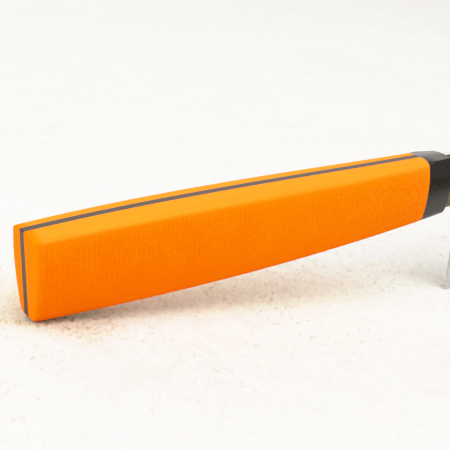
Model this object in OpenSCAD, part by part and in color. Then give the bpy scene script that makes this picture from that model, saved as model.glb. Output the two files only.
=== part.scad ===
// Chef's knife with a frame handle: a steel blade whose hidden tang lies in a slot in a thin black
// frame, two orange laminate scales, a black bolster block, and concealed locating pins.
// The knife stands on two points, the heel of its edge and the lower corner of its butt.

/* [Handle] */
// Length of the scales along the spine, from the butt to the bolster
handle_len = 130; // [120:1:140]
// Height of the spine over the butt's lower corner, at the butt
spine_butt_z = 24.9; // [23:0.1:27]
// First control height of the spine's curve
spine_rise_z = 27.5; // [26:0.1:29]
// Height of the spine at the bolster joint
spine_joint_z = 26.1; // [25:0.1:27.5]
// First control height of the belly's curve, over the butt's lower corner
belly_dip_z = -0.5; // [-1.5:0.1:0.5]
// Second control height of the belly's curve
belly_rise_z = 1.3; // [0.5:0.1:2.5]
// Height of the belly at the bolster joint
belly_joint_z = 4.9; // [3.5:0.1:5.2]
// Half thickness over the scales at the butt
half_butt = 7; // [6.4:0.1:8]
// Control half thickness of the palm swell
half_swell = 10.1; // [8.5:0.1:11]
// Half thickness over the scales at the joint
half_joint = 6.4; // [6.2:0.1:7.5]
// How far the sides draw in towards the belly, at the butt
belly_inset = 3.6; // [2:0.1:3.8]
// How far the sides draw in towards the belly, at the joint
joint_inset = 2.4; // [1.5:0.1:3]
// How far the sides draw in towards the spine
crown_inset = 0.9; // [0:0.1:1.2]
// Depth over which the spine rounds into the sides, at mid length
top_round = 2.85; // [1.5:0.05:3.2]
// The same at the butt and at the joint
end_round = 2.1; // [1:0.1:3]
// Height over which the belly rounds into the sides
low_round = 2.6; // [1:0.1:3.2]
// Length over which the butt's face rounds into the sides
butt_round = 0.6; // [0.4:0.1:2]
// Corner radius of the side view where the spine meets the butt
top_corner_r = 0.5; // [0.3:0.1:1.5]
// Corner radius of the side view where the belly meets the butt
low_corner_r = 2; // [0.5:0.1:2.5]
// Forward lean of the butt's face, per mm of height
butt_rake = 0.04; // [0:0.01:0.1]

/* [Frame and bolster] */
// Thickness of the black centre frame
frame_t = 2.5; // [2.2:0.1:3.5]
// Length of the bolster
bolster_len = 10.4; // [8:0.1:14]
// Forward lean of the joint and of the bolster's front face, per mm of height
joint_rake = 0.05; // [0:0.01:0.08]
// How far each side of the bolster draws in towards the blade
bolster_taper = 0.35; // [0:0.05:1]
// How far the bolster's top falls to meet the blade's spine
bolster_fall = 0.5; // [0:0.1:0.8]
// How much more the bolster's sides draw in towards its top, at the blade
shoulder_inset = 0.7; // [0:0.1:1]
// How far the ridges on the bolster's top lie below its middle, where they leave the joint
ridge_start = 1.1; // [0.8:0.1:1.5]
// The same at the front
ridge_drop = 0.35; // [0.2:0.05:0.8]
// Length over which the ridges rise from the one to the other
ridge_rise = 5; // [3:0.5:8]
// Length over which the ridges form out of the rounded scales
ridge_run = 0.8; // [0.4:0.1:2]

/* [Blade] */
// Thickness of the blade's steel
blade_t = 2.2; // [1.8:0.1:2.2]
// Distance from the bolster's top front corner to the heel, along the spine
heel_gap = 9.6; // [8:0.1:14]
// Depth of the heel below the butt's lower corner, square to the spine
heel_depth = 23.7; // [20:0.1:28]
// Length of the cutting edge, from heel to tip
edge_len = 210; // [190:5:230]
// Drop of the tip below the spine
tip_drop = 13.5; // [8:0.5:15]
// Length over which the spine falls to the tip
tip_run = 110; // [80:5:140]
// Radius of the cutting edge's curve
edge_r = 500; // [470:10:600]
// Height of the neck's lower edge
neck_z = 7; // [6.5:0.1:8.5]
// Radius between the neck and the rear edge of the heel
choil_r = 3.4; // [2:0.1:4]
// Thickness left behind the cutting edge
edge_t = 0.3; // [0.2:0.05:0.6]
// Width of the ground zone above the cutting edge
grind_w = 36; // [30:1:40]

/* [Tang and pins] */
// Distance from the butt to the centre of the hidden tang's rounded end
tang_end_x = 28.3; // [26:0.1:36]
// How much thinner the tang is than the blade
tang_relief = 0.1; // [0.05:0.05:0.2]
// Height of the tang at the bolster
tang_h = 13; // [10:0.5:14]
// Height of the tang at its end
tang_end_h = 9; // [7:0.5:10]
// Diameter of the two pins through the tang
tang_pin_d = 3; // [2:0.5:4]
// Diameter of the two pins through the frame behind the tang
frame_pin_d = 2; // [1.5:0.5:3]
// Depth of each pin in a scale
pin_depth = 3; // [2:0.5:3]
// Diameter of the lengthwise dowels from the bolster to the scales
dowel_d = 2; // [1.5:0.5:2]
// Length of a lengthwise dowel
dowel_len = 14; // [10:1:16]
// Glue gap round the tang and the pins
glue_gap = 0.05; // [0.02:0.01:0.1]

/* [Hidden] */

orange = [1, 0.47, 0.02];
black = [0.12, 0.12, 0.12];
steel = [0.78, 0.78, 0.76];

half_frame = frame_t / 2;
front_x = handle_len + bolster_len;
spine_z = spine_joint_z - bolster_fall - 0.1;
heel_x = front_x + heel_gap;
heel_z = -heel_depth;
tip_x = heel_x + edge_len;
tip_z = spine_z - tip_drop;
tang_t = blade_t - tang_relief;
butt_low_x = butt_rake * spine_butt_z;
pitch = atan2(heel_depth, heel_x - butt_low_x);
rear_centre = [top_corner_r * (1 + butt_rake), spine_butt_z - top_corner_r];
rear_end = rear_centre[0] * cos(pitch) - rear_centre[1] * sin(pitch) - top_corner_r;
front_end = tip_x * cos(pitch) - tip_z * sin(pitch);
middle_x = (rear_end + front_end) / 2;
floor_z = butt_low_x * sin(pitch);

// Arc of the cutting edge: direction of its chord, half its turn, first direction and centre
edge_angle = atan2(tip_z - heel_z, edge_len);
edge_half = asin(norm([edge_len, tip_z - heel_z]) / 2 / edge_r);
edge_first = edge_angle - edge_half;
edge_centre = [heel_x - edge_r * sin(edge_first), heel_z + edge_r * cos(edge_first)];
function edge_point(angle) =
    [edge_centre[0] + edge_r * sin(angle), edge_centre[1] - edge_r * cos(angle)];

// Curves of the handle, as functions of the distance from the butt
function bezier3(p, u) =
    p[0] * pow(1 - u, 3) + 3 * p[1] * u * pow(1 - u, 2) + 3 * p[2] * u * u * (1 - u) + p[3] * pow(u, 3);
function bezier2(p, u) = p[0] * pow(1 - u, 2) + 2 * p[1] * u * (1 - u) + p[2] * u * u;
function past_joint(x) = max(0, (x - handle_len) / bolster_len);
function spine(x) =
    bezier3([spine_butt_z, spine_rise_z, spine_joint_z, spine_joint_z], x / handle_len)
    - bolster_fall * past_joint(x);
function belly(x) = bezier3([0, belly_dip_z, belly_rise_z, belly_joint_z], x / handle_len);
function half_width(x) =
    bezier2([half_butt, half_swell, half_joint], x / handle_len) - bolster_taper * past_joint(x);
function butt_x(z) = butt_rake * (spine_butt_z - z);

// Half thickness at a point of the side view: bowed sides, rounded over to the rims and the butt
wide_share = 0.7;
crown_sharpness = 2.4;
function clamp(t) = min(1, max(0, t));
function rounding(t, sharpness) = pow(1 - pow(1 - clamp(t), sharpness), 1 / sharpness);
function bow(x, z) =
    let (low = belly(x),
         high = spine(x),
         wide = low + wide_share * (high - low),
         sink = belly_inset + (joint_inset - belly_inset) * x / handle_len,
         lean = crown_inset + shoulder_inset * past_joint(x))
    z < wide ? sink * pow((wide - z) / (wide - low), 2) : lean * pow(clamp((z - wide) / (high - wide)), 1.3);
function ridge_share(x) = clamp((x - handle_len) / ridge_run);
function ridge_depth(x) =
    ridge_drop + (ridge_start - ridge_drop) * pow(1 - clamp((x - handle_len) / ridge_rise), 2);
function crown_depth(x) =
    let (u = clamp(x / handle_len), depth = end_round + (top_round - end_round) * 4 * u * (1 - u))
    depth + (ridge_depth(x) - depth) * ridge_share(x);
function skin_y(x, z) =
    let (sharpness = crown_sharpness + (1 - crown_sharpness) * ridge_share(x),
         top = rounding((spine(x) - z) / crown_depth(x), sharpness),
         low = rounding((z - belly(x)) / low_round, crown_sharpness),
         rear = rounding((x - butt_x(z)) / butt_round, 3))
    half_frame + (half_width(x) - bow(x, z) - half_frame) * top * low * rear;

// Side view's point drawn in to the radius of a butt corner; inward is its distance from the rim
function corner_pull(x, z, inward, r) =
    let (u = clamp(1 - (x - butt_x(z)) / r), v = clamp(1 - inward / r))
    u * v > 0 ? [r * u * (1 - max(u, v) / norm([u, v])), r * v * (1 - max(u, v) / norm([u, v]))] : [0, 0];
function drawn_in(x, z) =
    let (top = corner_pull(x, z, spine(x) - z, top_corner_r),
         low = corner_pull(x, z, z - belly(x), low_corner_r))
    [x + top[0] + low[0], z - top[1] + low[1]];

// Shares of the height and of the length at which the skin is worked out, closer at the bevels
rim_steps = 8;
side_steps = 12;
length_steps = 36;
rim_share = 0.12;
heights = concat(
    [for (i = [0:rim_steps - 1]) rim_share * pow(i / rim_steps, 2)],
    [for (i = [0:side_steps]) rim_share + (1 - 2 * rim_share) * i / side_steps],
    [for (i = [rim_steps - 1:-1:0]) 1 - rim_share * pow(i / rim_steps, 2)]);
stations = concat(
    [for (i = [0:rim_steps - 1]) butt_round * pow(i / rim_steps, 2)],
    [for (i = [0:length_steps]) butt_round + (handle_len + 2 - butt_round) * i / length_steps]);
last_height = len(heights) - 1;
last_station = len(stations) - 1;

function grid_point(i, j) =
    let (x0 = stations[i],
         z0 = belly(x0) + (spine(x0) - belly(x0)) * heights[j],
         x = x0 + butt_x(z0) * (1 - x0 / (handle_len + 2)),
         z = belly(x) + (spine(x) - belly(x)) * heights[j],
         on_rim = i == 0 || j == 0 || j == last_height,
         place = drawn_in(x, z))
    [place[0], on_rim ? half_frame : skin_y(x, z), place[1]];
function grid_index(i, j) = i * (last_height + 1) + j;

// Stands the knife on its heel and butt corner, over the middle of its length
module stand() {
    translate([-middle_x, 0, -floor_z])
        rotate([0, -pitch, 0])
            children();
}

// Everything ahead of the raked plane that crosses the spine at x
module ahead_of(x, spine_height) {
    far = 300;
    rotate([90, 0, 0])
        linear_extrude(height = 60, center = true)
            polygon([
                [x - joint_rake * 40, spine_height + 40],
                [x + joint_rake * 60, spine_height - 60],
                [x + far, spine_height - 60],
                [x + far, spine_height + 40]]);
}

// One scale before it is cut at the joint and bored
module scale_skin() {
    points = [for (i = [0:last_station]) for (j = [0:last_height]) grid_point(i, j)];
    skin = [for (i = [0:last_station - 1]) for (j = [0:last_height - 1])
        each [[grid_index(i, j), grid_index(i + 1, j), grid_index(i + 1, j + 1)],
              [grid_index(i, j), grid_index(i + 1, j + 1), grid_index(i, j + 1)]]];
    inner_face = concat(
        [for (j = [0:last_height]) grid_index(0, j)],
        [for (i = [1:last_station]) grid_index(i, last_height)],
        [for (i = [last_station:-1:1]) grid_index(i, 0)]);
    front_face = [for (j = [last_height:-1:0]) grid_index(last_station, j)];
    polyhedron(points = points, faces = concat(skin, [inner_face, front_face]), convexity = 4);
}

// Section of the bolster at distance x, right round
function bolster_ring(x) = concat(
    [for (h = heights) let (z = belly(x) + (spine(x) - belly(x)) * h) [x, skin_y(x, z), z]],
    [for (j = [last_height:-1:0])
        let (z = belly(x) + (spine(x) - belly(x)) * heights[j]) [x, -skin_y(x, z), z]]);

module bolster_skin() {
    even_rings = 9;
    places = concat(
        [-1, 0, ridge_run / 2],
        [for (i = [0:even_rings]) ridge_run + (bolster_len + 2 - ridge_run) * i / even_rings]);
    rings = len(places) - 1;
    count = 2 * (last_height + 1);
    points = [for (place = places) each bolster_ring(handle_len + place)];
    sides = [for (i = [0:rings - 1]) for (j = [0:count - 1])
        let (a = i * count + j, b = i * count + (j + 1) % count)
        each [[a, a + count, b + count], [a, b + count, b]]];
    rear_cap = [for (j = [0:count - 1]) j];
    front_cap = [for (j = [count - 1:-1:0]) rings * count + j];
    polyhedron(points = points, faces = concat(sides, [rear_cap, front_cap]), convexity = 4);
}

// Places of the pins and dowels
tang_pin_x = [48, 108];
frame_pin_z = [6, 19];
frame_pin_x = 13;
dowel_y = 3.6;
dowel_z = 15.5;

function tang_mid(x) = let (u = x / front_x) 12.8 + 2.9 * u;

module cross_pin(d, depth) {
    rotate([90, 0, 0])
        cylinder(d = d, h = frame_t + 2 * depth, center = true, $fn = 48);
}

module at_tang_pins() {
    for (x = tang_pin_x)
        translate([x, 0, tang_mid(x)])
            children();
}

module at_frame_pins() {
    for (z = frame_pin_z)
        translate([frame_pin_x, 0, z])
            children();
}

module at_dowels() {
    for (side = [-1, 1])
        translate([handle_len + 0.5 - dowel_len * 0.55, side * dowel_y, dowel_z])
            rotate([0, 90, 0])
                children();
}

module pin_bores() {
    at_tang_pins()
        cross_pin(tang_pin_d + 2 * glue_gap, pin_depth + glue_gap);
    at_frame_pins()
        cross_pin(frame_pin_d + 2 * glue_gap, pin_depth + glue_gap);
    translate([-glue_gap, 0, 0])
        at_dowels()
            cylinder(d = dowel_d + 2 * glue_gap, h = dowel_len + 2 * glue_gap, $fn = 48);
}

// Side view of the tang, as wide again as the gap given
module tang_outline(gap) {
    end_z = tang_mid(tang_end_x);
    mid_z = tang_mid(front_x);
    polygon(concat(
        [[front_x + 4, mid_z - tang_h / 2 - gap], [front_x + 4, mid_z + tang_h / 2 + gap]],
        [for (a = [90:15:270])
            [tang_end_x + (tang_end_h / 2 + gap) * cos(a), end_z + (tang_end_h / 2 + gap) * sin(a)]]));
}

// Side view of the whole blade ahead of the bolster
module blade_outline() {
    steps = 48;
    edge_points = [for (i = [1:steps - 1]) edge_point(edge_first + 2 * edge_half * i / steps)];
    spine_points = [for (i = [steps / 2:-1:1])
        let (u = i * 2 / steps)
        [tip_x - tip_run * (1 - u), spine_z - tip_drop * u * u]];
    choil_points = [for (a = [90:-15:0])
        [heel_x + 1.2 - choil_r + choil_r * cos(a), neck_z - choil_r + choil_r * sin(a)]];
    polygon(concat(
        [[front_x + joint_rake * (spine_joint_z - spine_z), spine_z],
         [front_x + joint_rake * (spine_joint_z - neck_z), neck_z]],
        choil_points,
        [[heel_x, heel_z]],
        edge_points,
        spine_points,
        [[tip_x - tip_run, spine_z]]));
}

// Wedge with its thin side along the edge's tangent at the angle given
module grind_wedge(angle) {
    touch = edge_point(angle);
    slope = (blade_t - edge_t) / 2 / grind_w;
    deep = 150;
    translate([touch[0], 0, touch[1]])
        rotate([0, -angle, 0])
            rotate([90, 0, 90])
                linear_extrude(height = 900, center = true)
                    polygon([
                        [-edge_t / 2 + slope, -1],
                        [edge_t / 2 - slope, -1],
                        [edge_t / 2 + slope * deep, deep],
                        [-edge_t / 2 - slope * deep, deep]]);
}

module blade() {
    tangents = 7;
    color(steel)
        stand()
            difference() {
                union() {
                    intersection() {
                        rotate([90, 0, 0])
                            linear_extrude(height = blade_t, center = true)
                                blade_outline();
                        intersection_for (i = [0:tangents - 1])
                            grind_wedge(edge_angle + edge_half * (2 * (i + 0.5) / tangents - 1));
                    }
                    rotate([90, 0, 0])
                        linear_extrude(height = tang_t, center = true)
                            tang_outline(0);
                }
                at_tang_pins()
                    cross_pin(tang_pin_d + 2 * glue_gap, 1);
            }
}

module centre_frame() {
    rim = concat(
        [for (i = [0:last_station]) let (p = grid_point(i, 0)) [p[0], p[2]]],
        [for (i = [last_station:-1:0]) let (p = grid_point(i, last_height)) [p[0], p[2]]]);
    color(black)
        stand()
            difference() {
                rotate([90, 0, 0])
                    linear_extrude(height = frame_t, center = true)
                        polygon(rim);
                rotate([90, 0, 0])
                    linear_extrude(height = frame_t + 2, center = true)
                        tang_outline(2 * glue_gap);
                ahead_of(handle_len, spine_joint_z);
                at_frame_pins()
                    cross_pin(frame_pin_d + 2 * glue_gap, 1);
            }
}

module scale_body() {
    difference() {
        scale_skin();
        ahead_of(handle_len, spine_joint_z);
        pin_bores();
    }
}

module scale_left() {
    color(orange)
        stand()
            scale_body();
}

module scale_right() {
    color(orange)
        stand()
            mirror([0, 1, 0])
                scale_body();
}

module bolster() {
    color(black)
        stand()
            difference() {
                intersection() {
                    bolster_skin();
                    ahead_of(handle_len, spine_joint_z);
                }
                ahead_of(front_x, spine_joint_z);
                rotate([90, 0, 0])
                    linear_extrude(height = blade_t + 2 * glue_gap, center = true)
                        tang_outline(2 * glue_gap);
                pin_bores();
            }
}

module tang_pins() {
    color(steel)
        stand()
            at_tang_pins()
                cross_pin(tang_pin_d, pin_depth);
}

module frame_pins() {
    color(steel)
        stand()
            at_frame_pins()
                cross_pin(frame_pin_d, pin_depth);
}

module bolster_dowels() {
    color(steel)
        stand()
            at_dowels()
                cylinder(d = dowel_d, h = dowel_len, $fn = 48);
}

blade();
centre_frame();
scale_left();
scale_right();
bolster();
tang_pins();
frame_pins();
bolster_dowels();
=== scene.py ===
"""Looks of the frame-handled chef's knife: refined pieces and procedural materials round the CAD part."""

import math

import bpy
import numpy as np
from mathutils import Matrix, Vector


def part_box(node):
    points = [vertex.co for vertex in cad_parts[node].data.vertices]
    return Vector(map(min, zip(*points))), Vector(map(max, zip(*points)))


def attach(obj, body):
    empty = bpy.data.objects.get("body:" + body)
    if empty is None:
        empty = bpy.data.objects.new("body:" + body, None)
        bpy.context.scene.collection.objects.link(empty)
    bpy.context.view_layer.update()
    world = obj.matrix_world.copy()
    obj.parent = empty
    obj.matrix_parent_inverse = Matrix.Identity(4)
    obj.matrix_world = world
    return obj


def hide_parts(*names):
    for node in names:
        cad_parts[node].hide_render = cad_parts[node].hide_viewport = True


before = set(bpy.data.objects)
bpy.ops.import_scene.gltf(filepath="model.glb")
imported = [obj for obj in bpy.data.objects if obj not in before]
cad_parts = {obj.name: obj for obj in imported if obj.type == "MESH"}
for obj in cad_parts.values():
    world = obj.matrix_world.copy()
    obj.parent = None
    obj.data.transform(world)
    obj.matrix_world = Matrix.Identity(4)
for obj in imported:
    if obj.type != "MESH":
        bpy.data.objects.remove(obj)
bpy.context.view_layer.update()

MM = 0.001

# Camera: its turn from +Y towards +X, height above the horizon and roll in degrees, its place in metres
# of the row frame, and its lens and sensor in mm
CAMERA_AZIMUTH = 36.802
CAMERA_ELEVATION = 16.944
CAMERA_ROLL = 11.113
CAMERA_PLACE = (-0.29053, -0.23073, 0.11245)
CAMERA_LENS = 86.885
SENSOR_WIDTH = 36

# Handle, in mm: x runs along the spine from the butt, z up from the butt's lower corner, y across
HANDLE_LEN = 130.0
SPINE_HEIGHTS = (24.9, 27.5, 26.1, 26.1)
BELLY_HEIGHTS = (0.0, -0.5, 1.3, 4.9)
HALF_WIDTHS = (7.0, 10.1, 6.4)
BUTT_SINK, JOINT_SINK = 3.6, 2.4
CROWN_LEAN = 0.9
LEAN_POWER = 1.3
WIDE_SHARE = 0.7
TOP_ROUND, END_ROUND = 2.85, 2.1
LOW_ROUND = 2.6
BUTT_ROUND = 0.6
SHARPNESS = 2.4
BUTT_SHARPNESS = 3
BUTT_RAKE = 0.04
TOP_CORNER_R = 0.5
LOW_CORNER_R = 2.0

# Frame and bolster
HALF_FRAME = 1.25
BOLSTER_LEN = 10.4
JOINT_RAKE = 0.05
BOLSTER_TAPER = 0.35
BOLSTER_FALL = 0.5
SHOULDER_LEAN = 0.7
RIDGE_START = 1.1
RIDGE_DROP = 0.35
RIDGE_RISE = 5.0
RIDGE_RUN = 0.8
BOLSTER_EASE = 0.12
EASE_SHARE = 0.015

# Blade
HALF_BLADE = 1.1
BLADE_STEP = 0.1
HEEL_X = 150.0
HEEL_DEPTH = 23.7
EDGE_LEN = 210.0
TIP_DROP = 13.5
TIP_RUN = 110.0
EDGE_R = 500.0
NECK_Z = 7.0
CHOIL_R = 3.4
CHOIL_REACH = 1.2
HALF_EDGE = 0.15
GRIND_W = 36.0
HONED_H = 0.7
HALF_APEX = 0.02
SPINE_EASE = 0.3
REAR_EASE = 0.12
NECK_EASE = 0.2
NECK_LIFT = 0.05
TIP_END = 0.05

# Tang, pins and their clearance
TANG_END_X = 28.3
TANG_ROOT = 4
TANG_MID_Z = 12.8
TANG_CLIMB = 2.9
TANG_H = 13.0
TANG_END_H = 9.0
TANG_RELIEF = 0.1
TANG_PINS = ((48.0, 3.0), (108.0, 3.0))
FRAME_PINS = ((6.0, 2.0), (19.0, 2.0))
FRAME_PIN_X = 13.0
PIN_DEPTH = 3.0
DOWEL_D = 2.0
DOWEL_LEN = 14.0
DOWEL_IN_SCALE = 0.55
DOWEL_SHIFT = 0.5
DOWEL_Y = 3.6
DOWEL_Z = 15.5
GAP = 0.05
CUT_PAST = 1

FRONT_X = HANDLE_LEN + BOLSTER_LEN
BLADE_SPINE_Z = SPINE_HEIGHTS[-1] - BOLSTER_FALL - BLADE_STEP
TIP_X = HEEL_X + EDGE_LEN
TIP_Z = BLADE_SPINE_Z - TIP_DROP
ROOT_X = HEEL_X + CHOIL_REACH
NECK_END_X = ROOT_X - CHOIL_R
ARC_Z = NECK_Z - CHOIL_R
BUTT_LOW_X = BUTT_RAKE * SPINE_HEIGHTS[0]
PITCH = math.atan2(HEEL_DEPTH, HEEL_X - BUTT_LOW_X)

# Counts of mesh rows, in the rims and between them, and of columns
HANDLE_ROWS = (24, 40)
BOLSTER_ROWS = (30, 36)
BLADE_COLUMNS = 150
NECK_COLUMNS = 12

# Rounds that settle a point on a raked plane
HANDLE_ROUNDS = 8
BOLSTER_ROUNDS = 6

# Height of the blade's finest rows and room for rounding errors, in mm
FINE_ROW = 0.08
NEAR = 0.01
TINY = 1e-9


# ---------------------------------------------------------------- frames of reference


def knife_origin():
    """Where the knife's own origin stands in the row frame, in mm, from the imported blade's tip and heel."""
    low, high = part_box("blade")
    x = high.x / MM - TIP_X * math.cos(PITCH) + TIP_Z * math.sin(PITCH)
    z = low.z / MM - HEEL_X * math.sin(PITCH) + HEEL_DEPTH * math.cos(PITCH)
    return x, z


ORIGIN_X, ORIGIN_Z = knife_origin()


def to_row(points):
    """Points of the knife's own frame in mm, as points of the row frame in metres."""
    p = np.asarray(points, float)
    c, s = math.cos(PITCH), math.sin(PITCH)
    x = p[..., 0] * c - p[..., 2] * s + ORIGIN_X
    z = p[..., 0] * s + p[..., 2] * c + ORIGIN_Z
    return np.stack([x, p[..., 1], z], axis=-1) * MM


# ---------------------------------------------------------------- curves of the handle


def bezier3(p, u):
    v = 1 - u
    return p[0] * v**3 + 3 * p[1] * u * v**2 + 3 * p[2] * u * u * v + p[3] * u**3


def bezier2(p, u):
    return p[0] * (1 - u) ** 2 + 2 * p[1] * u * (1 - u) + p[2] * u * u


def past_joint(x):
    return np.maximum(0, (x - HANDLE_LEN) / BOLSTER_LEN)


def spine(x):
    return bezier3(SPINE_HEIGHTS, x / HANDLE_LEN) - BOLSTER_FALL * past_joint(x)


def belly(x):
    return bezier3(BELLY_HEIGHTS, x / HANDLE_LEN)


def half_width(x):
    return bezier2(HALF_WIDTHS, x / HANDLE_LEN) - BOLSTER_TAPER * past_joint(x)


def butt_x(z):
    return BUTT_RAKE * (SPINE_HEIGHTS[0] - z)


def raked_x(x, z):
    """The raked plane that crosses the spine's height at x."""
    return x + JOINT_RAKE * (SPINE_HEIGHTS[-1] - z)


def rounding(t, sharpness=SHARPNESS):
    """0 at t = 0 and 1 from t = 1 on: the quarter of a superellipse."""
    return (1 - (1 - np.clip(t, 0, 1)) ** sharpness) ** (1 / sharpness)


def bow(x, z):
    """How far the sides have drawn in from their widest height, towards the belly or the spine."""
    low, high = belly(x), spine(x)
    wide = low + WIDE_SHARE * (high - low)
    sink = BUTT_SINK + (JOINT_SINK - BUTT_SINK) * x / HANDLE_LEN
    lean = CROWN_LEAN + SHOULDER_LEAN * past_joint(x)
    below = sink * (np.maximum(0, wide - z) / (wide - low)) ** 2
    above = lean * np.clip((z - wide) / (high - wide), 0, 1) ** LEAN_POWER
    return below + above


def crown(x):
    """Depth and sharpness of the spine's rounding, which turns into a crisp ridge on the bolster."""
    u = np.clip(x / HANDLE_LEN, 0, 1)
    depth = END_ROUND + (TOP_ROUND - END_ROUND) * 4 * u * (1 - u)
    share = np.clip((x - HANDLE_LEN) / RIDGE_RUN, 0, 1)
    fall = (1 - np.clip((x - HANDLE_LEN) / RIDGE_RISE, 0, 1)) ** 2
    ridge = RIDGE_DROP + (RIDGE_START - RIDGE_DROP) * fall
    return depth + (ridge - depth) * share, SHARPNESS + (1 - SHARPNESS) * share


def skin_y(x, z):
    """The side's distance from the plane of the blade, with its edges rounded down to the centre frame."""
    depth, sharpness = crown(x)
    top = rounding((spine(x) - z) / depth, sharpness)
    low = rounding((z - belly(x)) / LOW_ROUND)
    rear = rounding((x - butt_x(z)) / BUTT_ROUND, BUTT_SHARPNESS)
    return HALF_FRAME + (half_width(x) - bow(x, z) - HALF_FRAME) * top * low * rear


def rim_gap(x, z):
    """Distance in mm to the smoothly sanded spine or, at twice the pace, to the butt."""
    return np.minimum(spine(x) - z, (x - butt_x(z)) * 2)


def round_corners(x, z):
    """Draws the side view's two butt corners in to their radii."""
    out_x, out_z = x.copy(), z.copy()
    for radius, up in ((TOP_CORNER_R, True), (LOW_CORNER_R, False)):
        rim = spine(x) if up else belly(x)
        inward = (rim - z) if up else (z - rim)
        u = np.clip(1 - (x - butt_x(z)) / radius, 0, 1)
        v = np.clip(1 - inward / radius, 0, 1)
        pull = np.maximum(u, v) / np.maximum(np.hypot(u, v), TINY)
        pull = np.where(u * v > 0, pull, 1.0)
        out_x += radius * u * (1 - pull)
        out_z += radius * v * (1 - pull) * (-1 if up else 1)
    return out_x, out_z


# ---------------------------------------------------------------- mesh building


def height_shares(rim_steps, side_steps, rim_share=0.12):
    """Shares of the section's height from 0 to 1, closest together at the belly and the spine."""
    rim = rim_share * np.linspace(0, 1, rim_steps, endpoint=False) ** 2
    side = np.linspace(rim_share, 1 - rim_share, side_steps + 1)
    return np.concatenate([rim, side, 1 - rim[::-1]])


def new_piece(name, points, faces, attributes=None):
    """A mesh object from points in the knife's frame, with optional float attributes on its points."""
    mesh = bpy.data.meshes.new(name)
    mesh.from_pydata(to_row(points).tolist(), [], faces)
    mesh.validate()
    for key, values in (attributes or {}).items():
        layer = mesh.attributes.new(key, "FLOAT", "POINT")
        layer.data.foreach_set("value", np.asarray(values, np.float32))
    piece = bpy.data.objects.new(name, mesh)
    bpy.context.scene.collection.objects.link(piece)
    return piece


def grid_faces(rows, columns):
    faces = []
    for i in range(rows - 1):
        for j in range(columns - 1):
            a = i * columns + j
            faces.append([a, a + columns, a + columns + 1, a + 1])
    return faces


def prism(name, outline, half):
    """A closed slab of the side view given by outline, from y = -half to +half."""
    outline = np.asarray(outline, float)
    count = len(outline)
    points = [(x, side * half, z) for side in (-1, 1) for x, z in outline]
    faces = [list(range(count)), list(range(2 * count - 1, count - 1, -1))]
    for i in range(count):
        j = (i + 1) % count
        faces.append([j, i, count + i, count + j])
    return outward(new_piece(name, points, faces))


def rod(name, start, end, diameter, sides=48):
    """A closed round rod between two points of the knife's frame."""
    a, b = np.asarray(start, float), np.asarray(end, float)
    along = (b - a) / np.linalg.norm(b - a)
    across = np.cross(along, (0.3, 0.5, 0.8))
    across /= np.linalg.norm(across)
    other = np.cross(along, across)
    turns = np.linspace(0, 2 * math.pi, sides, endpoint=False)
    ring = diameter / 2 * (np.outer(np.cos(turns), across) + np.outer(np.sin(turns), other))
    points = np.concatenate([a + ring, b + ring])
    faces = [list(range(sides - 1, -1, -1)), list(range(sides, 2 * sides))]
    for i in range(sides):
        j = (i + 1) % sides
        faces.append([i, j, sides + j, sides + i])
    return outward(new_piece(name, points, faces))


def outward(piece):
    """Turns every face of a closed piece outward."""
    bpy.context.view_layer.objects.active = piece
    for other in bpy.context.selected_objects:
        other.select_set(False)
    piece.select_set(True)
    bpy.ops.object.mode_set(mode="EDIT")
    bpy.ops.mesh.select_all(action="SELECT")
    bpy.ops.mesh.normals_make_consistent(inside=False)
    bpy.ops.object.mode_set(mode="OBJECT")
    return piece


def combine(piece, others, operation):
    """Applies exact booleans with each of others, which are then removed."""
    bpy.context.view_layer.objects.active = piece
    for other in others:
        modifier = piece.modifiers.new("cut", "BOOLEAN")
        modifier.operation = operation
        modifier.solver = "EXACT"
        modifier.object = other
        bpy.ops.object.modifier_apply(modifier=modifier.name)
        bpy.data.objects.remove(other)


def finish_piece(piece, material, node, crease=32):
    """Shading, material and place in the assembly of a piece that stands for a CAD node."""
    mesh = piece.data
    mesh.polygons.foreach_set("use_smooth", [True] * len(mesh.polygons))
    mesh.set_sharp_from_angle(angle=math.radians(crease))
    mesh.materials.clear()
    mesh.materials.append(material)
    mesh.polygons.foreach_set("material_index", [0] * len(mesh.polygons))
    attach(piece, "root")
    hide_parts(node)


# ---------------------------------------------------------------- pieces


def tang_mid(x):
    """Height of the tang's middle line, which climbs towards the blade."""
    return TANG_MID_Z + TANG_CLIMB * x / FRONT_X


def tang_outline(gap):
    """Side view of the tang, grown by gap, from inside the blade's plate to its rounded end."""
    front = FRONT_X + TANG_ROOT
    mid = tang_mid(FRONT_X)
    centre = tang_mid(TANG_END_X)
    turns = np.radians(np.arange(90, 271, 7.5))
    reach = TANG_END_H / 2 + gap
    end = [(TANG_END_X + reach * math.cos(a), centre + reach * math.sin(a)) for a in turns]
    return [(front, mid - TANG_H / 2 - gap), (front, mid + TANG_H / 2 + gap)] + end


def cross_bore(x, z, diameter):
    reach = HALF_FRAME + PIN_DEPTH + GAP
    return rod("bore", (x, -reach, z), (x, reach, z), diameter + 2 * GAP)


def tang_bores():
    return [cross_bore(x, tang_mid(x), d) for x, d in TANG_PINS]


def frame_bores():
    return [cross_bore(FRAME_PIN_X, z, d) for z, d in FRAME_PINS]


def dowel_bores(sides):
    start = HANDLE_LEN + DOWEL_SHIFT - DOWEL_LEN * DOWEL_IN_SCALE - GAP
    end = start + DOWEL_LEN + 2 * GAP
    rods = []
    for side in sides:
        y = side * DOWEL_Y
        rods.append(rod("bore", (start, y, DOWEL_Z), (end, y, DOWEL_Z), DOWEL_D + 2 * GAP))
    return rods


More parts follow.
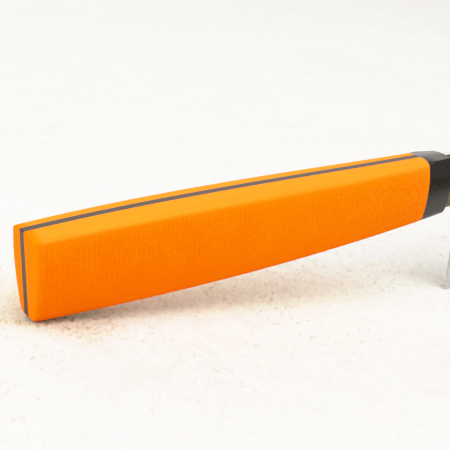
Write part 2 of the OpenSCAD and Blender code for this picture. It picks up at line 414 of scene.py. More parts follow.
def handle_grid():
    """Side-view points of the handle, from the butt's face to the joint and from the belly to the spine."""
    s, h = np.meshgrid(length_shares(), height_shares(*HANDLE_ROWS), indexing="ij")
    x = s * HANDLE_LEN
    for _ in range(HANDLE_ROUNDS):
        z = belly(x) + (spine(x) - belly(x)) * h
        x = butt_x(z) + s * (raked_x(HANDLE_LEN, z) - butt_x(z))
    return x, z


def length_shares(rear_steps=22, steps=150):
    """Shares of the handle's length from 0 to 1, closest together in the butt's rounding."""
    rear = BUTT_ROUND / HANDLE_LEN
    near = rear * np.linspace(0, 1, rear_steps, endpoint=False) ** 2
    return np.concatenate([near, np.linspace(rear, 1, steps)])


def scale(side, name, material):
    """One orange scale: a swelled and bevelled skin over a flat inner face, bored for its pins."""
    x, z = handle_grid()
    y = skin_y(x, z)
    gap = rim_gap(x, z)
    y[0, :] = HALF_FRAME
    y[:, 0] = HALF_FRAME
    y[:, -1] = HALF_FRAME
    x, z = round_corners(x, z)
    rows, columns = x.shape
    points = np.stack([x, side * y, z], axis=-1).reshape(-1, 3)
    faces = grid_faces(rows, columns)
    last = (rows - 1) * columns
    butt = list(range(columns))
    top = [i * columns + columns - 1 for i in range(1, rows)]
    low = [i * columns for i in range(rows - 1, 0, -1)]
    faces.append(butt + top + low)
    faces.append([last + j for j in range(columns - 1, -1, -1)])
    piece = outward(new_piece(name, points, faces, {"rim_gap": gap.reshape(-1)}))
    combine(piece, tang_bores() + frame_bores() + dowel_bores([side]), "DIFFERENCE")
    node = "scale_left" if side > 0 else "scale_right"
    finish_piece(piece, material, node)


def centre_frame(material):
    """The black slab between the scales, with its slot for the tang."""
    x, z = round_corners(*handle_grid())
    outline = list(zip(x[0, :], z[0, :]))
    outline += list(zip(x[1:, -1], z[1:, -1]))
    outline += list(zip(x[-1, -2:0:-1], z[-1, -2:0:-1]))
    outline += list(zip(x[:0:-1, 0], z[:0:-1, 0]))
    piece = prism("centre_frame_slab", outline, HALF_FRAME)
    slot = prism("slot", tang_outline(2 * GAP), HALF_FRAME + CUT_PAST)
    combine(piece, [slot] + frame_bores(), "DIFFERENCE")
    finish_piece(piece, material, "centre_frame")


def bolster_ring(reach, heights):
    """Points round the block at a share of its length, up the left and down the right, eased at the front."""
    station = HANDLE_LEN + reach * BOLSTER_LEN
    x = np.full(len(heights), station)
    for _ in range(BOLSTER_ROUNDS):
        z = belly(x) + (spine(x) - belly(x)) * heights
        x = raked_x(station, z)
    ease = BOLSTER_EASE * max(0, (reach - (1 - EASE_SHARE)) / EASE_SHARE)
    y = skin_y(x, z) - ease
    middle = (spine(x) + belly(x)) / 2
    z = z - ease * np.clip((z - middle) / 2, -1, 1)
    left = np.stack([x, y, z], axis=-1)
    right = np.stack([x, -y, z], axis=-1)[::-1]
    return np.concatenate([left, right])


def loft_faces(rings, count):
    """Faces of a closed loft over rings of count points, with both of its ends."""
    faces = []
    for i in range(rings - 1):
        for j in range(count):
            k = (j + 1) % count
            faces.append([i * count + j, i * count + k, (i + 1) * count + k, (i + 1) * count + j])
    last = (rings - 1) * count
    faces.append(list(range(count)))
    faces.append([last + j for j in range(count - 1, -1, -1)])
    return faces


def bolster_block(material):
    """The black bolster: the handle's section carried on, with a shoulder facet on each side."""
    heights = height_shares(*BOLSTER_ROWS)
    near = RIDGE_RUN / BOLSTER_LEN * np.linspace(0, 1, 9)
    reaches = np.concatenate([near, np.linspace(near[-1], 0.96, 20)[1:], [1 - EASE_SHARE, 1.0]])
    points = np.concatenate([bolster_ring(reach, heights) for reach in reaches])
    faces = loft_faces(len(reaches), 2 * len(heights))
    piece = outward(new_piece("bolster_block", points, faces))
    slot = prism("slot", tang_outline(2 * GAP), HALF_BLADE + GAP)
    combine(piece, [slot] + dowel_bores([-1, 1]), "DIFFERENCE")
    finish_piece(piece, material, "bolster")


def edge_circle():
    """Centre of the circle that the cutting edge follows from the heel to the tip."""
    rise = TIP_Z + HEEL_DEPTH
    angle = math.atan2(rise, EDGE_LEN)
    first = angle - math.asin(math.hypot(EDGE_LEN, rise) / 2 / EDGE_R)
    return HEEL_X - EDGE_R * math.sin(first), -HEEL_DEPTH + EDGE_R * math.cos(first)


EDGE_X, EDGE_Z = edge_circle()


def edge_height(x):
    return EDGE_Z - np.sqrt(EDGE_R**2 - (x - EDGE_X) ** 2)


def blade_top(x):
    u = np.clip((x - (TIP_X - TIP_RUN)) / TIP_RUN, 0, 1)
    return BLADE_SPINE_Z - TIP_DROP * u**2


def grind_half(x, z):
    """Half thickness of the ground blade: flat at the top, then falling straight to the honed edge."""
    above = EDGE_R - np.hypot(x - EDGE_X, z - EDGE_Z)
    slope = (HALF_BLADE - HALF_EDGE) / GRIND_W
    ground = np.minimum(HALF_BLADE, HALF_EDGE + slope * above)
    honed = HALF_APEX + (HALF_EDGE + slope * HONED_H - HALF_APEX) * above / HONED_H
    return np.maximum(HALF_APEX, np.minimum(ground, honed))


def eased(half, inward, radius):
    """Half thickness next to an edge that is rounded over to radius."""
    d = np.clip(inward, 0, radius)
    return half - (radius - np.sqrt(np.maximum(radius**2 - (radius - d) ** 2, 0)))


def rear_x(z):
    """The blade's rear outline below its neck: the choil's arc, and then the line to the heel."""
    arc = NECK_END_X + np.sqrt(np.maximum(CHOIL_R**2 - (z - ARC_Z) ** 2, 0))
    foot = (z + HEEL_DEPTH) / (ARC_Z + HEEL_DEPTH)
    line = HEEL_X + CHOIL_REACH * foot
    return np.where(z > ARC_Z, arc, line)


def blade_rows():
    """Heights of the mesh's rows as shares of the root column's, and the number of the neck's first row."""
    low, high = float(edge_height(ROOT_X)), BLADE_SPINE_Z
    knee = (NECK_Z - low) / (high - low)
    arc = (ARC_Z - low) / (high - low)
    fine = FINE_ROW / (high - low)
    edge = np.array([0, 0.25, 0.5, 0.75, 1, 1.35, 2]) * HONED_H / (high - low)
    heel = np.linspace(edge[-1], arc, 26)[1:-1]
    choil = arc + (knee - arc) * np.sin(np.linspace(0, math.pi / 2, 14))
    neck = knee + fine * np.array([1, 2, 3, 4, 8])
    upper = np.linspace(neck[-1], 1 - 8 * fine, 20)[1:]
    spine_rows = 1 - fine * np.array([4, 3, 2, 1, 0.5, 0])
    rows = np.concatenate([edge, heel, choil, neck, upper, spine_rows])
    return rows, len(edge) + len(heel) + len(choil) - 1


def blade_grid():
    """Side-view grid of the blade, column by column, and the first row that its neck's columns have."""
    shares, neck_row = blade_rows()
    root_z = edge_height(ROOT_X) + (BLADE_SPINE_Z - edge_height(ROOT_X)) * shares
    choil_x = np.where(root_z < NECK_Z, rear_x(root_z), NECK_END_X)
    front_x = raked_x(FRONT_X, root_z)
    columns_x = []
    columns_z = []
    for share in np.linspace(0, 1, NECK_COLUMNS, endpoint=False):
        columns_x.append(front_x + (NECK_END_X - front_x) * share)
        columns_z.append(root_z)
    heel_shares = np.concatenate([[0, 0.05, 0.1, 0.15, 0.25], np.linspace(0.4, 1, 7)[:-1]])
    for share in heel_shares:
        x = choil_x + (ROOT_X - choil_x) * share
        columns_x.append(x)
        columns_z.append(np.maximum(root_z, edge_height(x)))
    ahead = 1 - (1 - np.linspace(0, 1, BLADE_COLUMNS)) ** 1.15
    for x in ROOT_X + (TIP_X - TIP_END - ROOT_X) * ahead:
        low = edge_height(x)
        columns_x.append(np.full(len(shares), x))
        columns_z.append(low + (blade_top(x) - low) * shares)
    return np.array(columns_x), np.array(columns_z), neck_row


def blade_half(x, z):
    """Half thickness over the blade's grid: its grind, with the back, the choil and the neck eased."""
    half = eased(grind_half(x, z), blade_top(x) - z, SPINE_EASE)
    behind_edge = (x < ROOT_X + NEAR) & (z < NECK_Z + NEAR)
    inward = np.where(behind_edge, x - rear_x(np.minimum(z, NECK_Z)), SPINE_EASE)
    half = np.where(behind_edge, eased(half, inward, REAR_EASE), half)
    is_neck = (x < NECK_END_X + NEAR) & (z >= NECK_Z - NEAR)
    half = np.where(is_neck, eased(half, z - NECK_Z + NECK_LIFT, NECK_EASE), half)
    return np.maximum(half, HALF_APEX)


def plate_faces(number, cells, total):
    """Faces of the plate's two sides, total points apart, and of the rim between them."""
    faces = []
    border = {}
    for i, j in zip(*np.nonzero(cells)):
        quad = [number[i, j], number[i + 1, j], number[i + 1, j + 1], number[i, j + 1]]
        quad = [int(n) for n in quad]
        faces.append(quad)
        faces.append([n + total for n in quad[::-1]])
        for a, b in zip(quad, quad[1:] + quad[:1]):
            if (b, a) in border:
                del border[(b, a)]
            else:
                border[(a, b)] = True
    for a, b in border:
        faces.append([b, a, a + total, b + total])
    return faces


def blade_plate(material):
    """The blade with its hidden tang: flat grind, honed edge and eased back."""
    x, z, neck_row = blade_grid()
    half = blade_half(x, z)
    present = np.ones(x.shape, bool)
    present[:NECK_COLUMNS, :neck_row] = False
    total = int(present.sum())
    number = -np.ones(x.shape, int)
    number[present] = np.arange(total)
    flat = np.stack([x[present], half[present], z[present]], axis=-1)
    points = np.concatenate([flat, flat * (1, -1, 1)])
    cells = present[:-1, :-1] & present[1:, :-1] & present[1:, 1:] & present[:-1, 1:]
    piece = outward(new_piece("blade_plate", points, plate_faces(number, cells, total)))
    tang = prism("tang", tang_outline(0), HALF_BLADE - TANG_RELIEF / 2)
    combine(piece, [tang], "UNION")
    combine(piece, tang_bores(), "DIFFERENCE")
    finish_piece(piece, material, "blade", crease=20)


# ---------------------------------------------------------------- shader helpers


class Tree:
    """Short calls for building a material's nodes."""

    def __init__(self, name):
        self.material = bpy.data.materials.new(name)
        self.material.use_nodes = True
        self.nodes = self.material.node_tree.nodes
        self.links = self.material.node_tree.links
        self.nodes.clear()
        output = self.nodes.new("ShaderNodeOutputMaterial")
        self.shader = self.nodes.new("ShaderNodeBsdfPrincipled")
        self.links.new(self.shader.outputs[0], output.inputs["Surface"])
        self.along_knife = None

    def put(self, socket, value):
        """Links a node's output to socket, or sets a constant on it."""
        if isinstance(value, bpy.types.NodeSocket):
            self.links.new(value, socket)
        else:
            socket.default_value = value

    def math(self, operation, a, b=0.0, c=0.0, clamp=False):
        node = self.nodes.new("ShaderNodeMath")
        node.operation = operation
        node.use_clamp = clamp
        for socket, value in zip(node.inputs, (a, b, c)):
            self.put(socket, value)
        return node.outputs[0]

    def plus(self, a, b, clamp=False):
        return self.math("ADD", a, b, clamp=clamp)

    def less(self, a, b):
        return self.math("SUBTRACT", a, b)

    def times(self, a, b):
        return self.math("MULTIPLY", a, b)

    def times_plus(self, a, b, c, clamp=False):
        """a times b, plus c."""
        return self.math("MULTIPLY_ADD", a, b, c, clamp)

    def away(self, value):
        """Distance of a value from 0."""
        return self.math("ABSOLUTE", value)

    def mix(self, factor, a, b):
        node = self.nodes.new("ShaderNodeMix")
        node.data_type = "RGBA"
        self.put(node.inputs["Factor"], factor)
        for socket, value in zip((node.inputs[6], node.inputs[7]), (a, b)):
            self.put(socket, value if isinstance(value, bpy.types.NodeSocket) else (*value, 1.0))
        return node.outputs[2]

    def ramp(self, value, low, high, low_out=0.0, high_out=1.0):
        """Eases from low_out at low to high_out at high, where low may be the larger."""
        node = self.nodes.new("ShaderNodeMapRange")
        node.interpolation_type = "SMOOTHSTEP"
        for socket, number in zip(node.inputs, (value, low, high, low_out, high_out)):
            self.put(socket, number)
        return node.outputs[0]

    def noise(self, vector, scale, detail=2.0, roughness=0.5, distortion=0.0):
        node = self.nodes.new("ShaderNodeTexNoise")
        self.put(node.inputs["Vector"], vector)
        node.inputs["Scale"].default_value = scale
        node.inputs["Detail"].default_value = detail
        node.inputs["Roughness"].default_value = roughness
        node.inputs["Distortion"].default_value = distortion
        return node.outputs[0]

    def mapped(self, vector, place=(0, 0, 0), turn=(0, 0, 0), stretch=(1, 1, 1)):
        node = self.nodes.new("ShaderNodeMapping")
        node.inputs["Location"].default_value = place
        node.inputs["Rotation"].default_value = turn
        node.inputs["Scale"].default_value = stretch
        self.put(node.inputs["Vector"], vector)
        return node.outputs[0]

    def knife_mm(self, stretch=None):
        """Coordinates in mm along the knife's own axes, each scaled by its share in stretch."""
        if self.along_knife is None:
            c, s = math.cos(PITCH), math.sin(PITCH)
            where = self.nodes.new("ShaderNodeTexCoord").outputs["Object"]
            place = (-(ORIGIN_X * c + ORIGIN_Z * s), 0, ORIGIN_X * s - ORIGIN_Z * c)
            self.along_knife = self.mapped(where, place, (0, PITCH, 0), (1 / MM, 1 / MM, 1 / MM))
        if stretch is None:
            return self.along_knife
        return self.mapped(self.along_knife, stretch=stretch)

    def seen_along(self, vector, share):
        """Coordinates turned to the camera's azimuth, with the depth direction stretched by 1 / share."""
        turned = self.mapped(vector, turn=(0, 0, math.radians(CAMERA_AZIMUTH)))
        return self.mapped(turned, stretch=(1, share, 1))

    def split(self, vector):
        node = self.nodes.new("ShaderNodeSeparateXYZ")
        self.put(node.inputs[0], vector)
        return node.outputs

    def attribute(self, name):
        node = self.nodes.new("ShaderNodeAttribute")
        node.attribute_name = name
        return node.outputs["Fac"]

    def bump(self, height, strength, distance):
        node = self.nodes.new("ShaderNodeBump")
        node.inputs["Strength"].default_value = strength
        node.inputs["Distance"].default_value = distance
        self.put(node.inputs["Height"], height)
        self.put(self.shader.inputs["Normal"], node.outputs[0])

    def set(self, **values):
        for key, value in values.items():
            self.put(self.shader.inputs[key.replace("_", " ")], value)


# ---------------------------------------------------------------- materials

# Sanded bevel and the shoulder beside it, in mm from the spine; along the butt they are half as wide
BEVEL_GAP = 1.9
BEVEL_BLUR = 0.8
SHOULDER_START = BEVEL_GAP - 1.0
SHOULDER_END = BEVEL_GAP + 4.0

# Cloth: pitches of its threads in mm, and the level between a thread's crown and its gap
RIB_PITCH = 1.4
ROW_PITCH = 0.884
THREAD_LEVEL = 0.6

# Below this height in mm the ribs swing back towards the butt, by this share of the depth's square
LEAN_BELOW_Z = 15.0
RIB_LEAN = 0.011

# Stretches of the handle's length, in mm from the butt
NEAR_JOINT = (60.0, 125.0)
LAST_STRIP = (121.0, 129.0)

# A noise's middle value
MEAN = 0.5

# Orange laminate
WOVEN_DEEP = (0.9, 0.135, 0.0)
WOVEN_LIGHT = (1.0, 0.205, 0.0)
# Painted shade: the deeper orange of the lower woven side
LOW_SIDE_SHADE = (0.85, 0.14, 0.0)
BEVEL_ORANGE = (1.0, 0.282, 0.016)
BEVEL_DEEP = (1.0, 0.248, 0.013)
SHOULDER_ORANGE = (1.0, 0.24, 0.0)
BUTT_ORANGE = (1.0, 0.205, 0.0)
FLECK = (1.0, 0.4, 0.08)

# Black laminate of the sheet and of the block, each with the tint of its shine, and steel
SHEET_BLACK = (0.03, 0.017, 0.011)
SHEET_SHINE = (1.0, 0.91, 0.84)
BLOCK_BLACK = (0.008, 0.0075, 0.006)
BLOCK_SHINE = (0.95, 0.92, 0.8)
STEEL_DARK = (0.48, 0.465, 0.43)
STEEL_LIGHT = (0.68, 0.67, 0.64)
PIN_DARK = (0.5, 0.5, 0.49)
PIN_LIGHT = (0.68, 0.68, 0.67)

# Plaster and what lies on it, with the place of the painted contact shade and grit by the butt in metres of
# the row frame
PLASTER_DARK = (0.77, 0.765, 0.74)
PLASTER_LIGHT = (0.81, 0.806, 0.79)
# Painted shade: tan tint of the shadow under the handle
SHADE_TINT = (0.83, 0.83, 0.68)
TROWEL_MARK = (0.69, 0.665, 0.61)
GRAIN_SHADE = (0.64, 0.615, 0.56)
DUST = (0.62, 0.53, 0.25)
# Painted contact shade round the butt's foot
CONTACT_SHADE = (0.5, 0.44, 0.2)
GRIT = (0.25, 0.19, 0.07)
PIT = (0.5, 0.36, 0.17)
CONTACT_SHADE_X = -0.163


def weave(tree, x, z):
    """Crowns of the upright ribs and of the lengthwise rows of the cloth, both 0 to 1."""
    wander = tree.noise(tree.knife_mm((0.16, 0.16, 0.3)), 1.0, 2.0)
    shift = tree.times(tree.less(wander, MEAN), 1.1)
    below = tree.math("MAXIMUM", tree.less(LEAN_BELOW_Z, z), 0.0)
    lean = tree.times(tree.math("POWER", below, 2.0), RIB_LEAN)
    rib_turn = tree.plus(tree.plus(x, lean), shift)
    rib_turn = tree.times(rib_turn, math.pi / RIB_PITCH)
    row_turn = tree.times(tree.plus(z, shift), math.pi / ROW_PITCH)
    rib = tree.math("COSINE", rib_turn)
    row = tree.math("COSINE", row_turn)
    return tree.away(rib), tree.away(row)


def cloth_relief(tree, x, rib, row, shoulder):
    """Height of the threads, broken into dashes and patches and clearest on the shoulder."""
    patch = tree.ramp(tree.noise(tree.knife_mm(), 0.2, 2.0), 0.35, 0.65, 0.3, 1.0)
    dashes = tree.ramp(tree.noise(tree.knife_mm((0.6, 0.6, 0.8)), 1.0, 2.0), 0.36, 0.62, 0.0, 1.1)
    strength = tree.times_plus(shoulder, 0.4, tree.times(dashes, patch))
    broken = tree.times(strength, tree.times_plus(row, 0.9, 0.35))
    ribs = tree.times(tree.less(rib, THREAD_LEVEL), broken)
    row_strength = tree.times(dashes, tree.ramp(x, 30.0, 90.0, 0.5, 0.35))
    rows = tree.times(tree.less(row, THREAD_LEVEL), row_strength)
    return tree.plus(ribs, rows)


def cloth_grain(tree, grain, near_joint):
    """Grain of the woven side about 0, stronger and coarser towards the joint."""
    fine = tree.times(tree.less(grain, MEAN), tree.times_plus(near_joint, 2.2, 1.9))
    coarse = tree.less(tree.noise(tree.knife_mm(), 1.2, 2.0), MEAN)
    return tree.times_plus(coarse, tree.times(near_joint, 1.1), fine)


def woven_tone(tree, x, relief, rough):
    """How light the cloth is, 0 to 1: its threads, grain and clouds, and a slow rise along the handle."""
    cloud = tree.noise(tree.knife_mm(), 0.12, 3.0, 0.6)
    tone = tree.plus(tree.times_plus(relief, 0.8, 0.5), rough)
    tone = tree.times_plus(tree.less(cloud, MEAN), 0.8, tone)
    return tree.plus(tone, tree.ramp(x, 0.0, 110.0, -0.2, 0.25), clamp=True)


def woven_colour(tree, where, tone, shoulder, near_joint):
    """Orange of the woven side: lighter on the shoulder, deepened towards the belly by painted shade, with
    pale flecks.
    """
    x, _, z = tree.split(where)
    colour = tree.mix(tone, WOVEN_DEEP, WOVEN_LIGHT)
    colour = tree.mix(tree.times(shoulder, 0.5), colour, SHOULDER_ORANGE)
    # Painted shade: the side's orange darkens towards the belly
    colour = tree.mix(tree.ramp(z, 14.0, 0.0, 0.0, 0.55), colour, LOW_SIDE_SHADE)
    threshold = tree.times_plus(near_joint, -0.09, 0.85)
    threshold = tree.plus(threshold, tree.ramp(x, *LAST_STRIP, 0.0, -0.05))
    fleck = tree.math("GREATER_THAN", tree.noise(where, 3.4, 0.0), threshold)
    return tree.mix(tree.times(fleck, 0.7), colour, FLECK)


def sanded_colour(tree, x, z, lines):
    """Orange of the sanded bevels, streaked along the handle, and deeper on the butt's face."""
    sanded = tree.mix(tree.ramp(lines, 0.3, 0.7), BEVEL_ORANGE, BEVEL_DEEP)
    lean = tree.times(tree.less(SPINE_HEIGHTS[0], z), BUTT_RAKE)
    butt = tree.ramp(tree.less(x, lean), 1.2, 3.4, 1.0, 0.0)
    return tree.mix(butt, sanded, BUTT_ORANGE)


def orange_laminate():
    """Orange cloth in resin: woven on the sides, sanded smooth along the spine and down the butt."""
    tree = Tree("orange_woven_laminate")
    where = tree.knife_mm()
    x, _, z = tree.split(where)
    rib, row = weave(tree, x, z)
    gap = tree.attribute("rim_gap")
    toothed = tree.times_plus(tree.less(rib, THREAD_LEVEL), 0.45, gap)
    bevel = tree.ramp(toothed, BEVEL_GAP - BEVEL_BLUR, BEVEL_GAP + BEVEL_BLUR, 1.0, 0.0)
    shoulder = tree.ramp(gap, SHOULDER_START, SHOULDER_END, 1.0, 0.0)
    near_joint = tree.ramp(x, *NEAR_JOINT)
    grain = tree.noise(tree.knife_mm((1.0, 1.0, 0.6)), 2.4, 3.0, 0.65)
    lines = tree.noise(tree.knife_mm((0.03, 1.6, 1.6)), 1.0, 3.0, 0.6)
    relief = cloth_relief(tree, x, rib, row, shoulder)
    rough = cloth_grain(tree, grain, near_joint)
    woven = woven_colour(tree, where, woven_tone(tree, x, relief, rough), shoulder, near_joint)
    colour = tree.mix(bevel, woven, sanded_colour(tree, x, z, lines))
    side_height = tree.times(tree.times_plus(rough, 0.7, relief), tree.less(1.0, bevel))
    height = tree.times_plus(tree.times(lines, bevel), 0.15, side_height)
    roughness = tree.times_plus(bevel, -0.14, 0.62)
    roughness = tree.times_plus(tree.less(grain, MEAN), 0.25, roughness)
    tree.set(Base_Color=colour, Roughness=roughness, Specular_IOR_Level=0.004)
    tree.bump(height, strength=0.45, distance=0.00012)
    return tree.material


def black_laminate(name, black, shine, specular, roughness):
    """Black cloth in resin, finely sanded along the handle."""
    tree = Tree(name)
    grain = tree.noise(tree.knife_mm(), 3.0, 3.0, 0.6)
    lines = tree.noise(tree.knife_mm((0.04, 2.0, 2.0)), 1.0, 3.0, 0.6)
    dark = tuple(0.6 * c for c in black)
    light = tuple(1.5 * c for c in black)
    tone = tree.times_plus(tree.less(lines, MEAN), 0.8, grain, clamp=True)
    colour = tree.mix(tree.ramp(tone, 0.3, 0.7), dark, light)
    rough = tree.times_plus(tree.less(grain, MEAN), 0.25, roughness)
    tree.set(Base_Color=colour, Roughness=rough)
    tree.set(Specular_IOR_Level=specular, Specular_Tint=(*shine, 1.0))
    tree.bump(tree.plus(grain, lines), strength=0.3, distance=0.00003)
    return tree.material


def blade_steel():
    """Satin steel, brushed from heel to tip."""
    tree = Tree("satin_steel")
    brush = tree.noise(tree.knife_mm((0.02, 4.0, 4.0)), 1.0, 4.0, 0.7)
    cloud = tree.noise(tree.knife_mm(), 0.06, 3.0, 0.6)
    calm = tree.times_plus(tree.less(cloud, MEAN), 0.35, 0.5)
    tone = tree.times_plus(tree.less(brush, MEAN), 1.4, calm, clamp=True)
    rough = tree.times_plus(tree.less(brush, MEAN), 0.16, 0.15)
    rough = tree.times_plus(tree.less(cloud, MEAN), 0.1, rough)
    tree.set(Base_Color=tree.mix(tone, STEEL_DARK, STEEL_LIGHT), Metallic=1.0, Roughness=rough)
    tree.bump(brush, strength=0.3, distance=0.00003)
    return tree.material


def pin_steel():
    """Plain rod with faint turning rings."""
    tree = Tree("turned_steel")
    rings = tree.noise(tree.knife_mm((1.0, 9.0, 1.0)), 1.0, 2.0)
    rough = tree.ramp(tree.noise(tree.knife_mm(), 2.0), 0.3, 0.7, 0.25, 0.4)
    tree.set(Base_Color=tree.mix(rings, PIN_DARK, PIN_LIGHT), Metallic=1.0, Roughness=rough)
    tree.bump(rings, strength=0.1, distance=0.00002)
    return tree.material


def floor_pits(tree, where, rough, y):
    """Small pits that gather in patches, mostly beside the knife, 0 to 1."""
    beside = tree.ramp(tree.away(tree.less(y, 0.01)), 0.09, 0.02, 0.2, 1.0)
    zone = tree.times(tree.ramp(tree.noise(where, 24.0, 3.0, 0.6), 0.45, 0.6), beside)
    return tree.times(tree.ramp(tree.noise(rough, 620.0, 2.0, 0.6, 0.4), 0.6, 0.68), zone)


def shade_and_dust_band(tree, x, y):
    """The band under the handle, 0 to 1, where shade is painted as a tan tint and dust specks gather."""
    across = tree.times(tree.ramp(y, -0.01, 0.001), tree.ramp(y, 0.034, 0.01))
    along = tree.times(tree.ramp(x, -0.195, -0.17), tree.ramp(x, 0.0, -0.12))
    return tree.times(across, along)


def plaster():
    """Off-white trowelled plaster: mottled, pitted, with tan dust and a painted shade tint under the handle,
    and painted contact shade with grit by the butt.
    """
    tree = Tree("pale_plaster")
    where = tree.nodes.new("ShaderNodeTexCoord").outputs["Object"]
    x, y, _ = tree.split(where)
    rough = tree.seen_along(where, 0.4)
    broad = tree.noise(where, 9.0, 4.0, 0.6)
    trowel = tree.noise(where, 70.0, 6.0, 0.7, 0.8)
    granular = tree.noise(rough, 420.0, 4.0, 0.7)
    crumbs = tree.ramp(tree.noise(rough, 900.0, 4.0, 0.75, 0.3), 0.5, 0.62)
    patchy = tree.ramp(tree.noise(where, 38.0, 3.0, 0.6), 0.45, 0.66, 0.0, 0.5)
    pit = floor_pits(tree, where, rough, y)
    shade_and_dust = shade_and_dust_band(tree, x, y)
    dust = tree.times(crumbs, tree.math("MAXIMUM", shade_and_dust, patchy))
    # Round the butt's foot: painted contact shade, with grit specks in it
    contact_shade_and_grit = tree.ramp(tree.plus(tree.away(tree.less(x, CONTACT_SHADE_X)), tree.away(y)), 0.026, 0.006)
    grit = tree.times(tree.times(contact_shade_and_grit, crumbs), 0.6)
    colour = tree.mix(tree.ramp(broad, 0.3, 0.7), PLASTER_DARK, PLASTER_LIGHT)
    # Painted shade: a tan tint over the band where the handle's shadow falls
    colour = tree.mix(tree.times(shade_and_dust, 0.8), colour, SHADE_TINT)
    colour = tree.mix(tree.ramp(trowel, 0.48, 0.7, 0.0, 0.55), colour, TROWEL_MARK)
    colour = tree.mix(tree.ramp(granular, 0.42, 0.68, 0.0, 0.4), colour, GRAIN_SHADE)
    colour = tree.mix(tree.times(dust, 0.5), colour, DUST)
    # Painted contact shade by the butt
    colour = tree.mix(tree.times(contact_shade_and_grit, 0.35), colour, CONTACT_SHADE)
    colour = tree.mix(grit, colour, GRIT)
    colour = tree.mix(tree.times(pit, 0.5), colour, PIT)
    height = tree.times_plus(pit, -0.25, tree.times_plus(granular, 0.25, trowel))
    tree.set(Base_Color=colour, Roughness=0.85, Specular_IOR_Level=0.2)
    tree.bump(height, strength=0.4, distance=0.003)
    return tree.material


# ---------------------------------------------------------------- room, light and camera

# Tone curve, in shares of full white: straight up to the knee, then eased to the top at TONE_WHITE
TONE_KNEE = 0.85
TONE_SHOULDER = (1.1, 0.953)
TONE_TOP = 0.99
TONE_WHITE = 1.8

# Room, in metres of the row frame
FLOOR_REACH = 6.0
WORLD_COLOUR = (1.0, 0.96, 0.9)
WORLD_STRENGTH = 0.46
BACKDROP_COLOUR = (1.0, 0.985, 0.92)
CARD_BROWN = (0.14, 0.09, 0.032)
CARD_X, CARD_Y = 0.028, -0.054
CARD_REACH = 0.6
CARD_HEIGHT = 0.001


def level_sheet(name, low_x, low_y, high_x, high_y, height, material):
    """A rectangle that lies level at height."""
    mesh = bpy.data.meshes.new(name)
    corners = [(low_x, low_y), (high_x, low_y), (high_x, high_y), (low_x, high_y)]
    mesh.from_pydata([(x, y, height) for x, y in corners], [], [[0, 1, 2, 3]])
    mesh.materials.append(material)
    sheet = bpy.data.objects.new(name, mesh)
    bpy.context.scene.collection.objects.link(sheet)
    return sheet


def lay_floor():
    floor = level_sheet("floor", -FLOOR_REACH, -FLOOR_REACH, FLOOR_REACH, FLOOR_REACH, 0, plaster())


def soft_light(name, place, aim, width, height, power, colour=(1, 1, 1)):
    data = bpy.data.lights.new(name, "AREA")
    data.shape = "RECTANGLE"
    data.size, data.size_y = width, height
    data.energy = power
    data.color = colour
    light = bpy.data.objects.new(name, data)
    light.location = place
    light.rotation_euler = (Vector(aim) - Vector(place)).to_track_quat("-Z", "Y").to_euler()
    bpy.context.scene.collection.objects.link(light)


def set_lights():
    middle = (-0.05, 0, 0)
    handle = (-0.1, 0, 0)
    soft_light("softbox", (0.35, -0.85, 1.8), middle, width=2.6, height=2.2, power=46)
    soft_light("left_fill", (-1.7, -0.3, 1.0), handle, width=1.6, height=1.4, power=24)
    soft_light("backdrop", (0.6, 2.2, 1.1), middle, width=4.5, height=2.2, power=31, colour=BACKDROP_COLOUR)


def card_material():
    material = bpy.data.materials.new("brown_card")
    material.use_nodes = True
    shader = material.node_tree.nodes["Principled BSDF"]
    shader.inputs["Base Color"].default_value = (*CARD_BROWN, 1)
    shader.inputs["Roughness"].default_value = 0.9
    return material


def lay_reflection_card():
    """A dark brown card by the blade, seen only in reflections."""
    brown = card_material()
    card = level_sheet("reflection_card", CARD_X, -CARD_REACH, CARD_REACH, CARD_Y, CARD_HEIGHT, brown)
    card.visible_camera = False
    card.visible_diffuse = False
    card.visible_shadow = False


def set_world():
    world = bpy.data.worlds.new("studio")
    bpy.context.scene.world = world
    world.use_nodes = True
    background = world.node_tree.nodes["Background"]
    background.inputs["Color"].default_value = (*WORLD_COLOUR, 1)
    background.inputs["Strength"].default_value = WORLD_STRENGTH


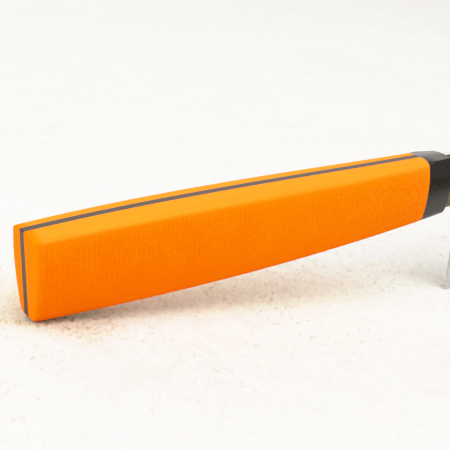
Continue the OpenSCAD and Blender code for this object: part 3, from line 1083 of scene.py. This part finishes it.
def set_camera():
    azimuth, elevation, roll = (math.radians(a) for a in (CAMERA_AZIMUTH, CAMERA_ELEVATION, CAMERA_ROLL))
    flat = math.cos(elevation)
    forward = Vector((flat * math.sin(azimuth), flat * math.cos(azimuth), -math.sin(elevation)))
    level = Vector((math.cos(azimuth), -math.sin(azimuth), 0))
    upright = level.cross(forward)
    right = math.cos(roll) * level + math.sin(roll) * upright
    up = -math.sin(roll) * level + math.cos(roll) * upright
    data = bpy.data.cameras.new("camera")
    data.lens = CAMERA_LENS
    data.sensor_width = SENSOR_WIDTH
    camera = bpy.data.objects.new("camera", data)
    turn = Matrix((right, up, -forward)).transposed().to_4x4()
    camera.matrix_world = Matrix.Translation(CAMERA_PLACE) @ turn
    bpy.context.scene.collection.objects.link(camera)
    bpy.context.scene.camera = camera


def set_tone():
    """Standard tones, with the brightest ones eased in below white as in a camera."""
    view = bpy.context.scene.view_settings
    view.view_transform = "Standard"
    view.use_curve_mapping = True
    view.curve_mapping.white_level = (TONE_WHITE, TONE_WHITE, TONE_WHITE)
    curve = view.curve_mapping.curves[3]
    curve.points[1].location = (1.0, TONE_TOP)
    curve.points.new(TONE_KNEE / TONE_WHITE, TONE_KNEE)
    curve.points.new(TONE_SHOULDER[0] / TONE_WHITE, TONE_SHOULDER[1])
    for point in curve.points:
        point.handle_type = "AUTO"
    curve.points[0].handle_type = "VECTOR"
    curve.points[1].handle_type = "VECTOR"
    view.curve_mapping.update()


def set_stage():
    lay_floor()
    set_world()
    set_lights()
    lay_reflection_card()
    set_tone()
    set_camera()


# ---------------------------------------------------------------- the whole


def paint_pins():
    steel = pin_steel()
    for node in ("tang_pins", "frame_pins", "bolster_dowels"):
        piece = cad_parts[node]
        piece.data.materials.clear()
        piece.data.materials.append(steel)


def build():
    orange = orange_laminate()
    scale(1, "scale_left_woven", orange)
    scale(-1, "scale_right_woven", orange)
    centre_frame(black_laminate("black_laminate_sheet", SHEET_BLACK, SHEET_SHINE, 0.5, 0.45))
    bolster_block(black_laminate("black_laminate_block", BLOCK_BLACK, BLOCK_SHINE, 0.4, 0.25))
    blade_plate(blade_steel())
    paint_pins()
    set_stage()


build()
